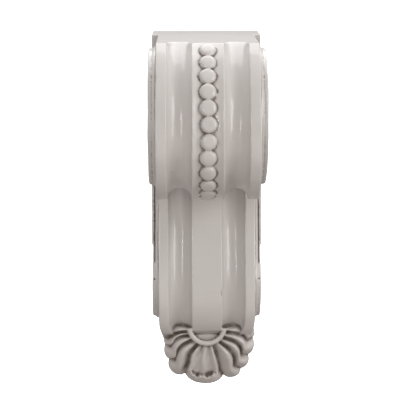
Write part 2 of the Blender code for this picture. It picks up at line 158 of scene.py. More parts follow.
# Under the coves' feet the leaf stays forward; further out its sides lie back.
COVE_FOOT_START = 27.0
COVE_FOOT_SPAN = 14.0
COLLAR_HEIGHT = -121.0
COLLAR_RADIUS = 18.3
COLLAR_THICKNESS = 5.4
COLLAR_REACH = 117.0
COLLAR_HALF_TURN = 84.0
BUTTON_RADIUS = 14.0
BUTTON_REACH = 108.0
BUTTON_RISE = 6.0
BUTTON_SQUARENESS = 3.0
# Shares of the way along or across a lobe: along runs from the collar to the edge, and across from the
# valley on the left to the one on the right. A pair is a middle and the half width round it.
# The valleys between the lobes from left to right: the angle from straight down and the distance from
# the leaf's centre where each ends, and how far it swings outwards halfway and inwards near its end
VALLEYS = (
    (-95.0, 42.0, 0.0, 0.0),
    (-77.0, 46.0, 3.0, 2.0),
    (-67.0, 46.3, 6.0, 4.0),
    (-49.0, 50.7, 6.0, 5.0),
    (-25.0, 52.6, 8.0, -3.0),
    (19.0, 52.3, 1.0, 1.0),
    (39.0, 54.8, 6.0, 4.0),
    (56.0, 51.1, 7.0, 5.0),
    (78.0, 48.0, 1.0, 6.0),
    (94.0, 44.0, 0.0, 0.0),
)
SWING_OUTWARDS = (0.44, 0.42)
SWING_INWARDS = (0.82, 0.18)
# The lobes between those valleys: the distance of the tip, and where the crest lies as a share of the
# width, from the valley nearer the middle, at the collar and at the tip
LOBES = (
    (46.5, 0.40, 0.40),
    (47.0, 0.25, 0.20),
    (52.0, 0.30, 0.15),
    (60.0, 0.50, 0.30),
    (60.0, 0.50, 0.50),
    (60.5, 0.70, 0.60),
    (58.0, 0.45, 0.50),
    (53.5, 0.40, 0.40),
    (50.5, 0.35, 0.35),
)
MIDDLE_LOBE = 4
# The long flank of a side lobe stays high and drops near its valley.
LONG_FLANK = 2.0
# A lobe's height runs from 0 in its valleys to 1, and this share of it lies on the leaf's own face. The
# relief grows from nothing at the collar and is a little lower at the edge.
LEVEL_SHARE = 0.6
LEAF_RELIEF = 8.0
RELIEF_GROWTH = 0.35
EDGE_RELIEF_START = 0.8
EDGE_RELIEF_SPAN = 0.2
EDGE_RELIEF_SHARE = 0.7
LEAF_CROWN = 2.5
TIP_ROLL = 9.0
TIP_ROLL_START = 0.72
# The middle lobe: its flat share with a raised rib inside each edge and a ridge down its middle
MIDDLE_FLAT_SHARE = 0.62
MIDDLE_SLOPE = 0.11
EDGE_RIB = (0.13, 0.15)
EDGE_RIB_SHARE = 0.45
MIDDLE_RIDGE = (0.5, 0.15)
MIDDLE_RIDGE_SHARE = 0.28
# Its turned lip starts along an uneven line, made of waves of this height, rate and start.
LIP_RISE = 11.0
LIP_START = 0.80
LIP_SPAN = 0.06
LIP_WAVES = ((0.022, 21, 0.6), (0.012, 53, 1))
LIP_SIDE = 0.04
LIP_SIDE_SLOPE = 0.3
LIP_LEVEL_SLOPE = 0.12
# Just over the lip lie a nick and, beside it, a swelling.
LIP_CUT = 1.4
LIP_NICK = (0.66, 0.22)
LIP_SWELLING = (0.28, 0.2)
LIP_SWELLING_SHARE = 0.7
LIP_CUT_PLACE = 0.79
LIP_CUT_WAVE = (0.02, 17)
LIP_CUT_SPAN = 0.08
# The lobe sinks by this much between the collar and this share of the way to its edge.
LIP_HOLLOW = 2.0
LIP_HOLLOW_END = 0.7

# Small losses and marks, each placed by its (reach, height) and its distance to the right of the middle:
# a chip on the middle band's edge, and a scratch on the right disc's rim
CHIP = (128.0, -83.0)
CHIP_X = 15.8
CHIP_SIZE = (3.4, 3.6, 8.0)
SCRATCH_START = (195.5, 146.0)
SCRATCH_START_X = 55.4
SCRATCH_END = (201.5, 130.0)
SCRATCH_END_X = 57.6
SCRATCH_RADIUS = 0.8
# A fine line runs down the front edge of each flank's band.
BAND_LINE_X = 53.4
BAND_LINE_RADIUS = 0.7

# Fineness of the carved mesh
ARC_STEP = math.radians(2)
BEZIER_STEPS = 28
DISC_SEGMENTS = 180
COLLAR_STEPS = 60
LOBE_COLUMNS = 24
LEAF_ROWS = 70
WELD_DISTANCE = 0.01
VOXEL = 0.8
SMOOTHING_ROUNDS = 3
MOST_TRIANGLES = 190_000

# The waves that the hand leaves, each a length and a height, and how far from a flat face they fade
HAND_WAVES = ((38.0, 0.5), (14.0, 0.22), (5.0, 0.08))
FLAT_MARGIN = 4.0

# Short rays that find the crevices where glaze stays and round which shade is painted
RAY_COUNT = 14
RAY_LIFT = 0.25
GOLDEN_TURN = math.pi * (3 - math.sqrt(5))
CREVICE_REACH = 5.0
# How often what is found at each vertex is averaged with what its neighbours have
BLUR_ROUNDS = 2


def arc(centre, radius, start, turn):
    """Points of an arc; angles are measured from the reach axis towards +Z."""
    steps = max(2, round(abs(turn) / ARC_STEP))
    return [
        (
            centre[0] + radius * math.cos(start + turn * step / steps),
            centre[1] + radius * math.sin(start + turn * step / steps),
        )
        for step in range(steps + 1)
    ]


def bezier(start, start_handle, end_handle, end, steps=BEZIER_STEPS):
    knots = [Vector((*point, 0.0)) for point in (start, start_handle, end_handle, end)]
    return [(point.x, point.y) for point in interpolate_bezier(*knots, steps + 1)]


def volute_line():
    """The ribbon's face from the front edge of the top, round the volute, to the crease under it."""
    brow_centre = (DEPTH - BROW_RADIUS, VOLUTE_LEVEL)
    brow_angle = math.asin((TOP - VOLUTE_LEVEL) / BROW_RADIUS)
    curl_centre = (DEPTH - CURL_RADIUS, VOLUTE_LEVEL)
    tuck_centre = (curl_centre[0], VOLUTE_LEVEL - CURL_RADIUS + TUCK_RADIUS)
    brow = arc(brow_centre, BROW_RADIUS, brow_angle, -brow_angle)
    curl = arc(curl_centre, CURL_RADIUS, 0.0, -math.pi / 2)
    tuck = arc(tuck_centre, TUCK_RADIUS, -math.pi / 2, -TUCK_TURN)
    return brow + curl[1:] + tuck[1:]


def neck_line():
    """The ribbon's face from the crease, down the neck and round the front of the lower scroll."""
    upper = bezier(CREASE, CREASE_HANDLE, NECK_HANDLE_ABOVE, NECK)
    middle = bezier(NECK, NECK_HANDLE_BELOW, FRONT_HANDLE_ABOVE, SCROLL_FRONT)
    lower = bezier(SCROLL_FRONT, FRONT_HANDLE_BELOW, FOOT_HANDLE, SCROLL_FOOT)
    return upper + middle[1:] + lower[1:]


def to_world(point, x=0.0):
    return Vector((x * MM, -point[0] * MM, point[1] * MM))


def lerp(start, end, share):
    return start + (end - start) * share


def smooth(share):
    """Rises from 0 to 1 with level ends, and stays there outside that range."""
    share = min(max(share, 0.0), 1.0)
    return share * share * (3 - 2 * share)


def bump(value, middle, half_width):
    """1 at the middle, falling smoothly to 0 at this distance from it."""
    return smooth(1 - abs(value - middle) / half_width)


def linked(name, data):
    """A new object with this data, in the scene."""
    obj = bpy.data.objects.new(name, data)
    bpy.context.scene.collection.objects.link(obj)
    return obj


def evaluated(obj):
    """A new mesh of the object's curve or mesh after its modifiers."""
    bpy.context.view_layer.update()
    depsgraph = bpy.context.evaluated_depsgraph_get()
    return bpy.data.meshes.new_from_object(obj.evaluated_get(depsgraph))


def closed_mesh(name, shape):
    """A mesh from a bmesh, welded, with its faces pointing out."""
    bmesh.ops.remove_doubles(shape, verts=shape.verts, dist=WELD_DISTANCE * MM)
    bmesh.ops.recalc_face_normals(shape, faces=shape.faces)
    mesh = bpy.data.meshes.new(name)
    shape.to_mesh(mesh)
    shape.free()
    return mesh


def mesh_from_curve(curve, matrix):
    """The curve as one closed mesh in the world's frame."""
    obj = linked(curve.name, curve)
    mesh = evaluated(obj)
    bpy.data.objects.remove(obj)
    mesh.transform(matrix)
    shape = bmesh.new()
    shape.from_mesh(mesh)
    bpy.data.meshes.remove(mesh)
    return closed_mesh(curve.name, shape)


def extruded_outline(name, outline, half_width):
    """A flat shape in the side view, extruded to both sides of the middle plane."""
    curve = bpy.data.curves.new(name, "CURVE")
    curve.dimensions = "2D"
    curve.fill_mode = "BOTH"
    curve.extrude = half_width * MM
    spline = curve.splines.new("POLY")
    spline.points.add(len(outline) - 1)
    for point, (reach, height) in zip(spline.points, outline):
        point.co = (-reach * MM, height * MM, 0.0, 1.0)
    spline.use_cyclic_u = True
    # The curve's own X becomes the world's Y and its Y becomes the world's Z.
    turned = Matrix(((0, 0, 1, 0), (1, 0, 0, 0), (0, 1, 0, 0), (0, 0, 0, 1)))
    return mesh_from_curve(curve, turned)


def tube(name, points, radii, sides=10, stretch=1.0):
    """A round rod through 3-D points, its radius given at each; stretch widens it along X."""
    curve = bpy.data.curves.new(name, "CURVE")
    curve.dimensions = "3D"
    curve.bevel_depth = MM
    curve.bevel_resolution = sides
    curve.use_fill_caps = True
    spline = curve.splines.new("POLY")
    spline.points.add(len(points) - 1)
    middle_x = sum(point.x for point in points) / len(points)
    for knot, point, radius in zip(spline.points, points, radii):
        knot.co = ((point.x - middle_x) / stretch, point.y, point.z, 1.0)
        knot.radius = radius
    widened = Matrix.Translation((middle_x, 0, 0)) @ Matrix.Diagonal((stretch, 1, 1, 1))
    return mesh_from_curve(curve, widened)


def ball(name, matrix, size, squareness=2.0, segments=40):
    """A sphere flattened along its own Z, then placed; more squareness gives it a flatter top."""
    shape = bmesh.new()
    bmesh.ops.create_uvsphere(shape, u_segments=segments, v_segments=segments // 2, radius=0.5)
    for vert in shape.verts:
        out = min(1.0, 2 * math.hypot(vert.co.x, vert.co.y))
        vert.co.z = math.copysign(0.5 * (1 - out**squareness) ** (1 / squareness), vert.co.z)
    scale = Matrix.Diagonal((size[0] * MM, size[1] * MM, size[2] * MM, 1))
    bmesh.ops.transform(shape, matrix=matrix @ scale, verts=shape.verts)
    return closed_mesh(name, shape)


def disc(name, centre, radius, half_width, rounding=0.8):
    """A short cylinder lying along X, seen round in the side view, its edges eased."""
    shape = bmesh.new()
    bmesh.ops.create_cone(
        shape,
        cap_ends=True,
        segments=DISC_SEGMENTS,
        radius1=radius * MM,
        radius2=radius * MM,
        depth=2 * half_width * MM,
    )
    rims = [edge for edge in shape.edges if len({vert.co.z > 0 for vert in edge.verts}) == 1]
    bmesh.ops.bevel(shape, geom=rims, offset=rounding * MM, segments=3, affect="EDGES")
    matrix = Matrix.Translation(to_world(centre)) @ Matrix.Rotation(math.pi / 2, 4, "Y")
    bmesh.ops.transform(shape, matrix=matrix, verts=shape.verts)
    return closed_mesh(name, shape)


def box(name, low, high):
    shape = bmesh.new()
    bmesh.ops.create_cube(shape, size=1.0)
    low = Vector(low) * MM
    high = Vector(high) * MM
    matrix = Matrix.Translation((low + high) / 2) @ Matrix.Diagonal((*(high - low), 1))
    bmesh.ops.transform(shape, matrix=matrix, verts=shape.verts)
    return closed_mesh(name, shape)


def carved(mesh, cutters):
    """The mesh with each cutter taken out of it."""
    body = linked(mesh.name, mesh)
    tools = [linked(cutter.name, cutter) for cutter in cutters]
    for tool in tools:
        modifier = body.modifiers.new(tool.name, "BOOLEAN")
        modifier.operation = "DIFFERENCE"
        modifier.object = tool
        modifier.solver = "MANIFOLD"
    result = evaluated(body)
    for obj in [body, *tools]:
        bpy.data.objects.remove(obj)
    return result


def lengthened(line, start, end):
    """The line with a straight stretch added before its first point and after its last."""
    first = Vector(line[0]) + (Vector(line[0]) - Vector(line[1])).normalized() * start
    last = Vector(line[-1]) + (Vector(line[-1]) - Vector(line[-2])).normalized() * end
    return [tuple(first)] + list(line) + [tuple(last)]


def offset_line(line, distance):
    """The line moved square to itself, to the left of its run."""
    moved = []
    for index, point in enumerate(line):
        before = line[max(index - 1, 0)]
        after = line[min(index + 1, len(line) - 1)]
        run = (Vector(after) - Vector(before)).normalized()
        moved.append((point[0] - run.y * distance, point[1] + run.x * distance))
    return moved


def run_out(line):
    """The neck's coves at each point of their line, as a share of their full size."""
    shares = []
    for index in range(len(line)):
        beyond = sum(math.dist(*pair) for pair in zip(line[index:], line[index + 1 :]))
        shares.append(lerp(COVE_RUN_OUT_SHARE, 1.0, smooth((beyond - FLUTE_OVERRUN) / COVE_RUN_OUT)))
    return shares


def flute(name, line, x, width, depth, lift, shares=None):
    """An oval rod that cuts a hollow of this width and depth; its axis lies above the surface."""
    tool_depth = depth + lift
    half_chord = math.sqrt(1 - (lift / tool_depth) ** 2)
    points = [to_world(point, x) for point in offset_line(line, lift)]
    stretch = width / 2 / half_chord / tool_depth
    radii = [tool_depth * share for share in shares or [1.0] * len(points)]
    return tube(name, points, radii, stretch=stretch)


def flutes():
    """The rods that cut the coves and the channel, on the volute and on the neck."""
    cove_x = BAND_WIDTH / 2 + COVE_WIDTH / 2
    volute = lengthened(volute_line(), FLUTE_OVERRUN, CREASE_OVERRUN)
    neck = lengthened(neck_line(), CREASE_OVERRUN, FLUTE_OVERRUN)
    cove = (COVE_WIDTH, COVE_DEPTH, COVE_LIFT)
    cutters = []
    for side, x in (("left", -cove_x), ("right", cove_x)):
        cutters.append(flute(f"cove_volute_{side}", volute, x, *cove))
        cutters.append(flute(f"cove_neck_{side}", neck, x, *cove, run_out(neck)))
    channel = lengthened(volute_line(), FLUTE_OVERRUN, CREASE_OVERRUN / 2)
    channel_width = BAND_WIDTH - 2 * ARRIS
    return [*cutters, flute("channel", channel, 0.0, channel_width, CHANNEL_DEPTH, CHANNEL_LIFT)]


def ribbon():
    """The fluted ribbon and the body behind it, a little narrower where it curls under at its foot."""
    outline = [(-PAST_WALL, TOP)] + volute_line() + neck_line() + [(-PAST_WALL, SCROLL_FOOT[1])]
    mesh = carved(extruded_outline("ribbon", outline, RIBBON_WIDTH / 2), flutes())
    taper_height = (FOOT_TAPER_START - SCROLL_FOOT[1]) * MM
    for vert in mesh.vertices:
        drop = max(FOOT_TAPER_START * MM - vert.co.z, 0.0) / taper_height
        vert.co.x *= 1 - FOOT_TAPER * drop**2
    return mesh


def walk(line, distance):
    """The point this far along the line, and the line's direction there."""
    for start, end in zip(line, line[1:]):
        run = Vector(end) - Vector(start)
        if distance <= run.length:
            return Vector(start) + run.normalized() * distance, run.normalized()
        distance -= run.length
    return Vector(line[-1]), run.normalized()


def beads():
    chance = random.Random(BEAD_SEED)
    line = volute_line()
    meshes = []
    for index in range(BEAD_COUNT):
        along = BEAD_START + BEAD_PITCH * index + chance.uniform(-BEAD_WANDER, BEAD_WANDER)
        point, run = walk(line, along)
        outward = Vector((-run.y, run.x))
        seat = point - outward * CHANNEL_DEPTH
        tilt = math.atan2(outward.x, outward.y)
        across = BEAD_DIAMETER + chance.uniform(-BEAD_WANDER, BEAD_WANDER)
        size = (across, BEAD_DIAMETER + BEAD_EXTRA_LENGTH, 2 * BEAD_HEIGHT)
        aside = chance.uniform(-BEAD_WANDER, BEAD_WANDER)
        place = Matrix.Translation(to_world(seat, aside)) @ Matrix.Rotation(tilt, 4, "X")
        meshes.append(ball(f"bead_{index}", place, size, BEAD_SQUARENESS))
    return meshes


def spiral(centre, outer_radius, inner_radius, start, turns):
    """A scroll line wound inwards from its outer end; positive turns run towards +Z from the front."""
    steps = round(abs(turns) * 2 * math.pi / (2 * ARC_STEP))
    points = []
    for step in range(steps + 1):
        share = step / steps
        radius = outer_radius * (inner_radius / outer_radius) ** share
        angle = start + turns * 2 * math.pi * share
        points.append((centre[0] + radius * math.cos(angle), centre[1] + radius * math.sin(angle)))
    return points


def scroll_groove_line():
    """From the upper eye outwards, down the band at the back and round into the lower eye."""
    upper_end = UPPER_EYE_RADIUS + GROOVE_END_RADIUS
    lower_end = LOWER_EYE_RADIUS + GROOVE_END_RADIUS
    upper = spiral(UPPER_DISC_CENTRE, UPPER_GROOVE_RADIUS, upper_end, math.pi, -UPPER_GROOVE_TURNS)
    lower = spiral(LOWER_DISC_CENTRE, LOWER_GROOVE_RADIUS, lower_end, 0.0, -LOWER_GROOVE_TURNS)
    start = upper[0]
    end = lower[0]
    waist_above = (GROOVE_WAIST[0], GROOVE_WAIST[1] + GROOVE_HANDLE)
    waist_below = (GROOVE_WAIST[0], GROOVE_WAIST[1] - GROOVE_HANDLE)
    fall = bezier(start, (start[0], start[1] - GROOVE_HANDLE), waist_above, GROOVE_WAIST)
    rise = bezier(GROOVE_WAIST, waist_below, (end[0], end[1] + GROOVE_HANDLE), end)
    return upper[::-1] + fall[1:] + rise[1:-1] + lower


def scroll_grooves():
    line = scroll_groove_line()
    last = len(line) - 1
    radii = []
    for index in range(len(line)):
        share = math.sin(math.pi * index / last) ** GROOVE_TAPER
        radii.append(lerp(GROOVE_END_RADIUS, GROOVE_RADIUS, share))
    meshes = []
    for side in (-1, 1):
        points = [to_world(point, side * DISC_WIDTH / 2) for point in line]
        meshes.append(tube("scroll_groove", points, radii, sides=6))
    return meshes


def band_edge():
    """The front edge of the band between the discs, as seen from the side."""
    return bezier(BAND_START, BAND_START_HANDLE, BAND_END_HANDLE, BAND_END)


def flank_relief():
    """Discs, band and wall block on both flanks, with the scroll groove and the flutes cut in them."""
    foot = LOWER_DISC_CENTRE[1] - LOWER_DISC_RADIUS
    half = BLOCK_WIDTH / 2
    edge = band_edge()
    inner = [(BLOCK_REACH / 2, LOWER_DISC_CENTRE[1]), (BLOCK_REACH / 2, BAND_START[1])]
    wide_edge = [point for point in edge if point[1] > WIDE_BAND_FOOT]
    wide_inner = [(BLOCK_REACH, WIDE_BAND_FOOT), (BLOCK_REACH, BAND_START[1])]
    step_edge = offset_line(edge, STEP_OUT)
    step_half = STEP_WIDTH / 2
    solids = [
        box("wall_block", (-half, -BLOCK_REACH, foot), (half, PAST_WALL, TOP)),
        disc("upper_disc", UPPER_DISC_CENTRE, UPPER_DISC_RADIUS, DISC_WIDTH / 2),
        disc("upper_step", UPPER_DISC_CENTRE, UPPER_DISC_RADIUS + STEP_OUT, step_half),
        disc("lower_disc", LOWER_DISC_CENTRE, LOWER_DISC_RADIUS, LOWER_DISC_WIDTH / 2),
        disc("lower_step", LOWER_DISC_CENTRE, LOWER_DISC_RADIUS + STEP_OUT, step_half),
        extruded_outline("flank_band", edge + inner, FLANK_BAND_WIDTH / 2),
        extruded_outline("wide_band", wide_edge + wide_inner, WIDE_BAND_WIDTH / 2),
        extruded_outline("flank_step", step_edge + inner, step_half),
    ]
    return [carved(solid, scroll_grooves() + flutes()) for solid in solids]


def eyes():
    """A round button at the heart of each scroll."""
    meshes = []
    for side in (-1, 1):
        for centre, radius, width in (
            (UPPER_DISC_CENTRE, UPPER_EYE_RADIUS, DISC_WIDTH + EYE_HEIGHT),
            (LOWER_DISC_CENTRE, LOWER_EYE_RADIUS, LOWER_DISC_WIDTH),
        ):
            middle = to_world(centre, side * (width / 2 - EYE_HEIGHT))
            place = Matrix.Translation(middle) @ Matrix.Rotation(math.pi / 2, 4, "Y")
            meshes.append(ball("eye", place, (2 * radius, 2 * radius, EYE_THICKNESS)))
    return meshes


def round_point(centre_height, degrees, distance, reach):
    """A point this far from a centre on the front, at an angle from straight down."""
    angle = math.radians(degrees)
    height = centre_height - math.cos(angle) * distance
    return to_world((reach, height), math.sin(angle) * distance)


def leaf_point(degrees, distance, reach):
    """A point of the leaf's face; what lies further back hangs a little lower."""
    droop = (LEAF_REACH - reach) * LEAF_SLANT
    return round_point(LEAF_CENTRE_HEIGHT - droop, degrees, distance, reach)


def valley_angle(valley, along):
    """The angle of a valley's floor this share of the way from the collar to its end."""
    angle, _, outwards, inwards = valley
    swing = outwards * bump(along, *SWING_OUTWARDS) - inwards * bump(along, *SWING_INWARDS)
    return angle + math.copysign(swing, angle * swing)


def rolled(share):
    """Falls from 0 to -1 as a quarter circle."""
    return math.sqrt(1 - min(max(share, 0.0), 1.0) ** 2) - 1


def side_relief(lobe, across, along):
    """Height of a side lobe between its valleys, 0 to 1: a crest with one short and one long flank."""
    crest = lerp(lobe[1], lobe[2], along)
    if across < crest:
        return smooth(across / crest)
    return 1 - ((across - crest) / (1 - crest)) ** LONG_FLANK


def middle_relief(across):
    """Height of the middle lobe: raised edges, a ridge down its middle and a hollow each side of it."""
    to_edge = min(across, 1 - across)
    edge_rib = EDGE_RIB_SHARE * bump(to_edge, *EDGE_RIB)
    ridge = MIDDLE_RIDGE_SHARE * bump(across, *MIDDLE_RIDGE)
    return smooth(to_edge / MIDDLE_SLOPE) * (MIDDLE_FLAT_SHARE + edge_rib + ridge)


def lip_share(across, along):
    """How far a point of the middle lobe belongs to its turned lip, 0 to 1, with a ragged upper edge."""
    ragged = sum(height * math.sin(across * rate + start) for height, rate, start in LIP_WAVES)
    return smooth((along - LIP_START - ragged) / LIP_SPAN)


def middle_lip(across, along):
    """What the middle lobe gains in reach: it sinks away from the collar, then turns forward as a lip."""
    to_edge = min(across, 1 - across)
    nick = bump(across, *LIP_NICK) - LIP_SWELLING_SHARE * bump(across, *LIP_SWELLING)
    height, rate = LIP_CUT_WAVE
    cut = bump(along, LIP_CUT_PLACE + height * math.sin(across * rate), LIP_CUT_SPAN) * nick
    lip = lip_share(across, along) * smooth((to_edge + LIP_SIDE) / LIP_SIDE_SLOPE)
    return LIP_RISE * lip - LIP_CUT * cut - LIP_HOLLOW * smooth(along / LIP_HOLLOW_END)


def leaf_surface(index, across, along):
    """Angle, distance and reach of a point of this lobe."""
    left, right = VALLEYS[index], VALLEYS[index + 1]
    lobe = LOBES[index]
    degrees = lerp(valley_angle(left, along), valley_angle(right, along), across)
    edge = lerp(left[1], right[1], across)
    bulge = lobe[0] - (left[1] + right[1]) / 2
    outline = edge + bulge * math.sqrt(max(0.0, 1 - (2 * across - 1) ** 2))
    distance = lerp(LEAF_ROOT, outline, along)
    reach = LEAF_REACH + LEAF_CROWN * bump(along, 0.5, 0.5)
    reach += TIP_ROLL * rolled((along - TIP_ROLL_START) / (1 - TIP_ROLL_START))
    to_side = smooth((abs(degrees) - SIDE_RECESS_START) / SIDE_RECESS_SPAN)
    reach -= SIDE_RECESS * to_side * smooth((distance - COVE_FOOT_START) / COVE_FOOT_SPAN)
    if index == MIDDLE_LOBE:
        level = LEVEL_SHARE * smooth(min(across, 1 - across) / LIP_LEVEL_SLOPE)
        height = lerp(middle_relief(across), level, lip_share(across, along))
        reach += middle_lip(across, along)
    else:
        from_middle = 1 - across if index < MIDDLE_LOBE else across
        height = side_relief(lobe, from_middle, along)
    to_rim = smooth((along - EDGE_RELIEF_START) / EDGE_RELIEF_SPAN)
    fade = smooth(along / RELIEF_GROWTH) * lerp(1.0, EDGE_RELIEF_SHARE, to_rim)
    reach += LEAF_RELIEF * fade * (height - LEVEL_SHARE)
    return degrees, distance, reach


def leaf_grid():
    """Columns of leaf points from the left end to the right, each from the root to the edge."""
    places = []
    for index in range(len(LOBES)):
        count = LOBE_COLUMNS * 2 if index == MIDDLE_LOBE else LOBE_COLUMNS
        places += [(index, step / count) for step in range(count)]
    places.append((len(LOBES) - 1, 1.0))
    shares = [row / LEAF_ROWS for row in range(LEAF_ROWS + 1)]
    return [[leaf_surface(*place, along) for along in shares] for place in places]


def leaf():
    """The leaf as one closed shape, its edge run back to the wall as a fluted underside."""
    shape = bmesh.new()
    rings = []
    for column in leaf_grid():
        points = [leaf_point(*point) for point in column]
        degrees, distance, _ = column[-1]
        points.append(points[-1] - to_world((LEAF_SHOULDER, 0.0)))
        wall_distance = distance * LEAF_WALL_SHARE
        points.append(round_point(LEAF_CENTRE_HEIGHT, degrees, wall_distance, -PAST_WALL))
        rings.append([shape.verts.new(point) for point in points])
    for ring, following in zip(rings, rings[1:] + rings[:1]):
        for row in range(len(ring) - 1):
            shape.faces.new((ring[row], ring[row + 1], following[row + 1], following[row]))
    shape.faces.new([ring[0] for ring in rings])
    shape.faces.new([ring[-1] for ring in rings][::-1])
    return closed_mesh("leaf", shape)


def collar():
    """The ring that the leaf springs from, closed off above by the scroll, and the button inside it."""
    points = []
    for step in range(COLLAR_STEPS + 1):
        degrees = lerp(-COLLAR_HALF_TURN, COLLAR_HALF_TURN, step / COLLAR_STEPS)
        points.append(round_point(COLLAR_HEIGHT, degrees, COLLAR_RADIUS, COLLAR_REACH))
    ring = tube("collar", points, [COLLAR_THICKNESS / 2] * len(points))
    middle = to_world((BUTTON_REACH, COLLAR_HEIGHT))
    place = Matrix.Translation(middle) @ Matrix.Rotation(math.pi / 2, 4, "X")
    size = (2 * BUTTON_RADIUS, 2 * BUTTON_RADIUS, 2 * BUTTON_RISE)
    return [ring, ball("button", place, size, BUTTON_SQUARENESS)]


def marks():
    """What is cut into the finished skin: the chip, the scratch and the bands' fine lines."""
    scratch = [to_world(SCRATCH_START, SCRATCH_START_X), to_world(SCRATCH_END, SCRATCH_END_X)]
    cutters = [
        ball("chip", Matrix.Translation(to_world(CHIP, CHIP_X)), CHIP_SIZE, segments=16),
        tube("scratch", scratch, [SCRATCH_RADIUS] * 2, sides=4),
    ]
    for side in (-1, 1):
        line = [to_world(point, side * BAND_LINE_X) for point in band_edge()]
        cutters.append(tube("band_line", line, [BAND_LINE_RADIUS] * len(line), sides=4))
    return cutters


def joined(meshes):
    shape = bmesh.new()
    for mesh in meshes:
        shape.from_mesh(mesh)
        bpy.data.meshes.remove(mesh)
    bmesh.ops.triangulate(shape, faces=shape.faces)
    mesh = bpy.data.meshes.new("corbel")
    shape.to_mesh(mesh)
    shape.free()
    return mesh


def modified(mesh, add_modifiers):
    """The mesh after the modifiers that the function given adds to its object."""
    obj = linked(mesh.name, mesh)
    add_modifiers(obj)
    result = evaluated(obj)
    bpy.data.objects.remove(obj)
    bpy.data.meshes.remove(mesh)
    return result


def add_remesh(obj):
    remesh = obj.modifiers.new("one skin", "REMESH")
    remesh.mode = "VOXEL"
    remesh.voxel_size = VOXEL * MM
    soften = obj.modifiers.new("paint film", "SMOOTH")
    soften.factor = 0.5
    soften.iterations = SMOOTHING_ROUNDS


def add_decimate(obj):
    triangles = sum(len(polygon.vertices) - 2 for polygon in obj.data.polygons)
    decimate = obj.modifiers.new("fewer triangles", "DECIMATE")
    decimate.ratio = min(1.0, MOST_TRIANGLES / triangles)


def vertex_arrays(mesh):
    count = len(mesh.vertices)
    places = np.empty(count * 3, np.float32)
    normals = np.empty(count * 3, np.float32)
    mesh.vertices.foreach_get("co", places)
    mesh.vertices.foreach_get("normal", normals)
    edges = np.empty(len(mesh.edges) * 2, np.int64)
    mesh.edges.foreach_get("vertices", edges)
    return places.reshape(-1, 3), normals.reshape(-1, 3), edges.reshape(-1, 2)


def curvature(mesh):
    """How sharply the surface bends at each vertex, per millimetre: edges above 0, hollows below."""
    places, normals, edges = vertex_arrays(mesh)
    start, end = edges.T
    run = places[end] - places[start]
    bend = ((normals[end] - normals[start]) * run).sum(axis=1) / (run**2).sum(axis=1) * MM
    total = np.bincount(start, bend, len(places)) + np.bincount(end, bend, len(places))
    return total / np.bincount(edges.ravel(), minlength=len(places))


def short_rays():
    """Directions spread evenly over the upper half of a sphere, denser near its top."""
    rays = []
    for index in range(RAY_COUNT):
        up = math.sqrt((index + 0.5) / RAY_COUNT)
        turn = index * GOLDEN_TURN
        out = math.sqrt(1 - up * up)
        rays.append(Vector((out * math.cos(turn), out * math.sin(turn), up)))
    return rays


def crevices(mesh):
    """The share of short rays from each vertex that meet the surface again: 1 deep in a crevice."""
    tree = BVHTree.FromPolygons(
        [vert.co for vert in mesh.vertices],
        [polygon.vertices for polygon in mesh.polygons],
    )
    rays = short_rays()
    reach = CREVICE_REACH * MM
    shares = np.empty(len(mesh.vertices))
    for index, vert in enumerate(mesh.vertices):
        turned = vert.normal.to_track_quat("Z", "Y").to_matrix()
        start = vert.co + vert.normal * RAY_LIFT * MM
        hits = sum(tree.ray_cast(start, turned @ ray, reach)[0] is not None for ray in rays)
        shares[index] = hits / RAY_COUNT
    return shares


def blurred(mesh, values):
    """The values averaged with those of neighbouring vertices, a few times over."""
    edges = vertex_arrays(mesh)[2]
    both = np.concatenate([edges, edges[:, ::-1]])
    count = np.bincount(both[:, 0], minlength=len(values))
    for _ in range(BLUR_ROUNDS):
        values = (values + np.bincount(both[:, 0], values[both[:, 1]], len(values)) / count) / 2
    return values


def hand_worked(mesh):
    """Slight waves, as tool and brush leave them, fading out at the flat back and top."""
    low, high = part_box(NODE)
    places, normals, _ = vertex_arrays(mesh)
    for place, normal in zip(places, normals):
        from_flat = min(high[1] - place[1], high[2] - place[2]) / MM
        wave = sum(
            height * noise.noise(Vector(place) / (length * MM)) for length, height in HAND_WAVES
        )
        place += normal * wave * smooth(from_flat / FLAT_MARGIN) * MM
    mesh.vertices.foreach_set("co", np.clip(places, low, high).astype(np.float32).ravel())
    mesh.update()


def carved_corbel():
    meshes = [ribbon(), *flank_relief(), *beads(), *eyes(), leaf(), *collar()]
    skin = modified(joined(meshes), add_remesh)
    mesh = modified(carved(skin, marks()), add_decimate)
    hand_worked(mesh)
    for name, values in (("crevice", crevices(mesh)), ("bend", curvature(mesh))):
        attribute = mesh.attributes.new(name, "FLOAT", "POINT")
        attribute.data.foreach_set("value", blurred(mesh, values).astype(np.float32))
    mesh.shade_smooth()
    mesh.materials.clear()
    return linked("corbel_carving", mesh)


# Colours are linear
PAINT = (0.60, 0.569, 0.545, 1.0)
PAINT_DEEP = (0.50, 0.465, 0.44, 1.0)
# Painted highlight along sharp edges, together with rubbed paint
PAINT_RUBBED_AND_HIGHLIT = (0.67, 0.64, 0.615, 1.0)
# Painted shade: a darker, pinkish brown for the lower leaf and round the crevices
PAINT_SHADE = (0.40, 0.345, 0.315, 1.0)
GLAZE = (0.115, 0.08, 0.058, 1.0)
# Each of the next gives where its effect starts, where it is full, and the share of colour that it adds.
# Where the surface bends out this sharply, per millimetre, the paint is lighter: rubbed paint together
# with a painted highlight along the edges. Where it bends in, and where a crevice is this deep, brown
# glaze stays.
RUBBED_AND_HIGHLIT_BEND = (0.25, 0.8, 0.6)
GLAZE_BEND = (-0.06, -0.2, 0.85)
GLAZE_CREVICE = (0.2, 0.6, 0.65)
# Painted shade: a darker pinkish brown laid round the crevices and, between these heights, growing
# towards the foot, where the leaf lies in shade.
SHADE_ROUND_CREVICES = (0.02, 0.25, 0.4)
SHADE_TO_FOOT = (-0.105, -0.165, 0.5)
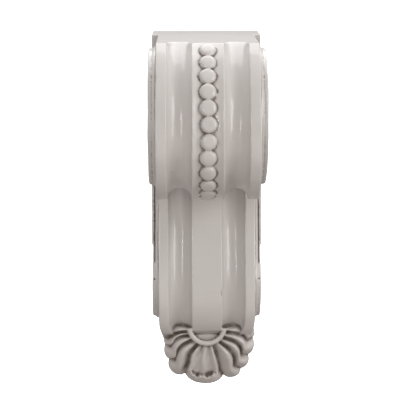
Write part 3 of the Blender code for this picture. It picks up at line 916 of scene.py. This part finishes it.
# Clouds of a deeper grey, patches in the glaze and the brush's film: each a scale and a detail of noise
CLOUDS = (14.0, 3.0)
CLOUDS_DEEP = (0.35, 0.7, 0.35)
PATCHES = (90.0, 4.0)
PATCHES_FULL = (0.2, 0.5, 1.0)
BRUSH = (260.0, 5.0)
BRUSH_STRENGTH = 0.12
BRUSH_DEPTH = 0.0004
ROUGHNESS = 0.36
COAT = 0.5
COAT_ROUGHNESS = 0.12


def paint_material():
    material = bpy.data.materials.new("grey_paint")
    material.use_nodes = True
    nodes = material.node_tree.nodes
    links = material.node_tree.links
    shader = nodes["Principled BSDF"]
    shader.inputs["Roughness"].default_value = ROUGHNESS
    shader.inputs["Coat Weight"].default_value = COAT
    shader.inputs["Coat Roughness"].default_value = COAT_ROUGHNESS

    place = nodes.new("ShaderNodeTexCoord")

    def noise_of(scale, detail):
        node = nodes.new("ShaderNodeTexNoise")
        node.inputs["Scale"].default_value = scale
        node.inputs["Detail"].default_value = detail
        links.new(place.outputs["Object"], node.inputs["Vector"])
        return node.outputs["Fac"]

    def ranged(value, low, high, top):
        node = nodes.new("ShaderNodeMapRange")
        node.inputs["From Min"].default_value = low
        node.inputs["From Max"].default_value = high
        node.inputs["To Max"].default_value = top
        links.new(value, node.inputs["Value"])
        return node.outputs["Result"]

    def mixed(share, first, second):
        node = nodes.new("ShaderNodeMix")
        node.data_type = "RGBA"
        links.new(share, node.inputs["Factor"])
        for socket, colour in ((node.inputs["A"], first), (node.inputs["B"], second)):
            if isinstance(colour, tuple):
                socket.default_value = colour
            else:
                links.new(colour, socket)
        return node.outputs["Result"]

    def carried(name):
        node = nodes.new("ShaderNodeAttribute")
        node.attribute_name = name
        return node.outputs["Fac"]

    def product(first, second):
        node = nodes.new("ShaderNodeMath")
        node.operation = "MULTIPLY"
        links.new(first, node.inputs[0])
        links.new(second, node.inputs[1])
        return node.outputs["Value"]

    cloudy = mixed(ranged(noise_of(*CLOUDS), *CLOUDS_DEEP), PAINT, PAINT_DEEP)
    height = nodes.new("ShaderNodeSeparateXYZ")
    links.new(place.outputs["Object"], height.inputs["Vector"])
    # Painted shade: the paint darkens towards the foot and round the crevices, where shade falls.
    shaded_to_foot = mixed(ranged(height.outputs["Z"], *SHADE_TO_FOOT), cloudy, PAINT_SHADE)
    shaded_round_crevices = mixed(ranged(carried("crevice"), *SHADE_ROUND_CREVICES), shaded_to_foot, PAINT_SHADE)
    # Painted highlight: lighter paint on sharp outward bends, where light catches the edges, together
    # with rubbed paint.
    rubbed_and_highlit = mixed(ranged(carried("bend"), *RUBBED_AND_HIGHLIT_BEND), shaded_round_crevices, PAINT_RUBBED_AND_HIGHLIT)
    patchy = ranged(noise_of(*PATCHES), *PATCHES_FULL)
    deep = mixed(product(ranged(carried("crevice"), *GLAZE_CREVICE), patchy), rubbed_and_highlit, GLAZE)
    glazed = mixed(product(ranged(carried("bend"), *GLAZE_BEND), patchy), deep, GLAZE)
    links.new(glazed, shader.inputs["Base Color"])

    film = nodes.new("ShaderNodeBump")
    film.inputs["Strength"].default_value = BRUSH_STRENGTH
    film.inputs["Distance"].default_value = BRUSH_DEPTH
    links.new(noise_of(*BRUSH), film.inputs["Height"])
    links.new(film.outputs["Normal"], shader.inputs["Normal"])
    return material


# Studio: the light from the sky, which changes between two heights of its direction, then each light's
# name, angle to the right of the front, angle above the level, size in metres, power in watts and colour
FLOOR_HEIGHT = -0.32
FLOOR_SIZE = 50.0
BACKDROP_RADIUS = 25.0
SKY_ABOVE = (0.52, 0.515, 0.51, 1.0)
SKY_BELOW = (0.345, 0.322, 0.312, 1.0)
SKY_CHANGE = (-0.35, 0.5)
LIGHT_DISTANCE = 2.2
LIGHT_TARGET = (0.0, -0.15, 0.0)
LIGHTS = (
    ("key", 58, 20, (1.0, 1.2), 20.5, (1.0, 1.0, 1.0)),
    ("strip", -22, 18, (0.12, 0.7), 6.0, (1.0, 1.0, 1.0)),
    ("left", -80, 10, (0.6, 1.2), 2.0, (1.0, 0.96, 0.92)),
    ("front", 0, -9, (1.8, 1.4), 5.8, (1.0, 0.95, 0.91)),
    ("behind", 180, 62, (3.2, 2.4), 64.0, (0.98, 0.99, 1.0)),
)


def area_light(name, place, size, power, colour):
    data = bpy.data.lights.new(name, "AREA")
    data.shape = "RECTANGLE"
    data.size, data.size_y = size
    data.energy = power
    data.color = colour
    light = linked(name, data)
    light.location = place
    light.rotation_euler = (Vector(LIGHT_TARGET) - Vector(place)).to_track_quat("-Z", "Y").to_euler()


def pale_stage():
    """A plain white that shows to the camera and throws no light on the part."""
    material = bpy.data.materials.new("pale_stage")
    material.use_nodes = True
    shader = material.node_tree.nodes["Principled BSDF"]
    shader.inputs["Base Color"].default_value = (0.9, 0.9, 0.9, 1)
    shader.inputs["Roughness"].default_value = 0.9
    shader.inputs["Emission Color"].default_value = (1, 1, 1, 1)
    shader.inputs["Emission Strength"].default_value = 1.0
    return material


def add_stage(obj, name, material):
    obj.name = name
    obj.data.materials.append(material)
    obj.visible_diffuse = False
    obj.visible_glossy = False
    obj.visible_shadow = False


def studio():
    white = pale_stage()
    bpy.ops.mesh.primitive_plane_add(size=FLOOR_SIZE, location=(0, 0, FLOOR_HEIGHT))
    add_stage(bpy.context.object, "floor", white)
    bpy.ops.mesh.primitive_uv_sphere_add(segments=48, ring_count=24, radius=BACKDROP_RADIUS)
    add_stage(bpy.context.object, "backdrop", white)


def sky():
    """Soft light all round, strong from above and weak from below."""
    world = bpy.data.worlds.new("studio")
    world.use_nodes = True
    nodes = world.node_tree.nodes
    links = world.node_tree.links
    direction = nodes.new("ShaderNodeTexCoord")
    split = nodes.new("ShaderNodeSeparateXYZ")
    links.new(direction.outputs["Generated"], split.inputs["Vector"])
    height = nodes.new("ShaderNodeMapRange")
    height.inputs["From Min"].default_value = SKY_CHANGE[0]
    height.inputs["From Max"].default_value = SKY_CHANGE[1]
    links.new(split.outputs["Z"], height.inputs["Value"])
    colour = nodes.new("ShaderNodeMix")
    colour.data_type = "RGBA"
    colour.inputs["A"].default_value = SKY_BELOW
    colour.inputs["B"].default_value = SKY_ABOVE
    links.new(height.outputs["Result"], colour.inputs["Factor"])
    links.new(colour.outputs["Result"], nodes["Background"].inputs["Color"])
    bpy.context.scene.world = world


def from_direction(azimuth, elevation, distance):
    """A place seen from the part at this angle to the right of the front and above the level."""
    turn = math.radians(azimuth)
    rise = math.radians(elevation)
    level = distance * math.cos(rise)
    return (level * math.sin(turn), -level * math.cos(turn), distance * math.sin(rise))


def floor_and_light():
    studio()
    sky()
    bpy.context.scene.view_settings.view_transform = "Standard"
    for name, azimuth, elevation, size, power, colour in LIGHTS:
        place = from_direction(azimuth, elevation, LIGHT_DISTANCE)
        area_light(name, place, size, power, colour)


# The camera, from the perspective measured in the photograph
FRAME_PIXELS = 416
FOCAL_PIXELS = 1400.0
SENSOR_WIDTH = 36.0
CAMERA_PLACE = (-18.3, -1512.1, 274.5)
CAMERA_DOWN = 11.0
CAMERA_RIGHT = 0.8


def camera():
    data = bpy.data.cameras.new("camera")
    data.sensor_width = SENSOR_WIDTH
    data.lens = FOCAL_PIXELS * SENSOR_WIDTH / FRAME_PIXELS
    view = linked("camera", data)
    view.location = Vector(CAMERA_PLACE) * MM
    view.rotation_euler = Euler((math.radians(90 - CAMERA_DOWN), 0, math.radians(-CAMERA_RIGHT)))
    bpy.context.scene.camera = view


corbel = carved_corbel()
corbel.data.materials.append(paint_material())
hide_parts(NODE)
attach(corbel, "root")
floor_and_light()
camera()
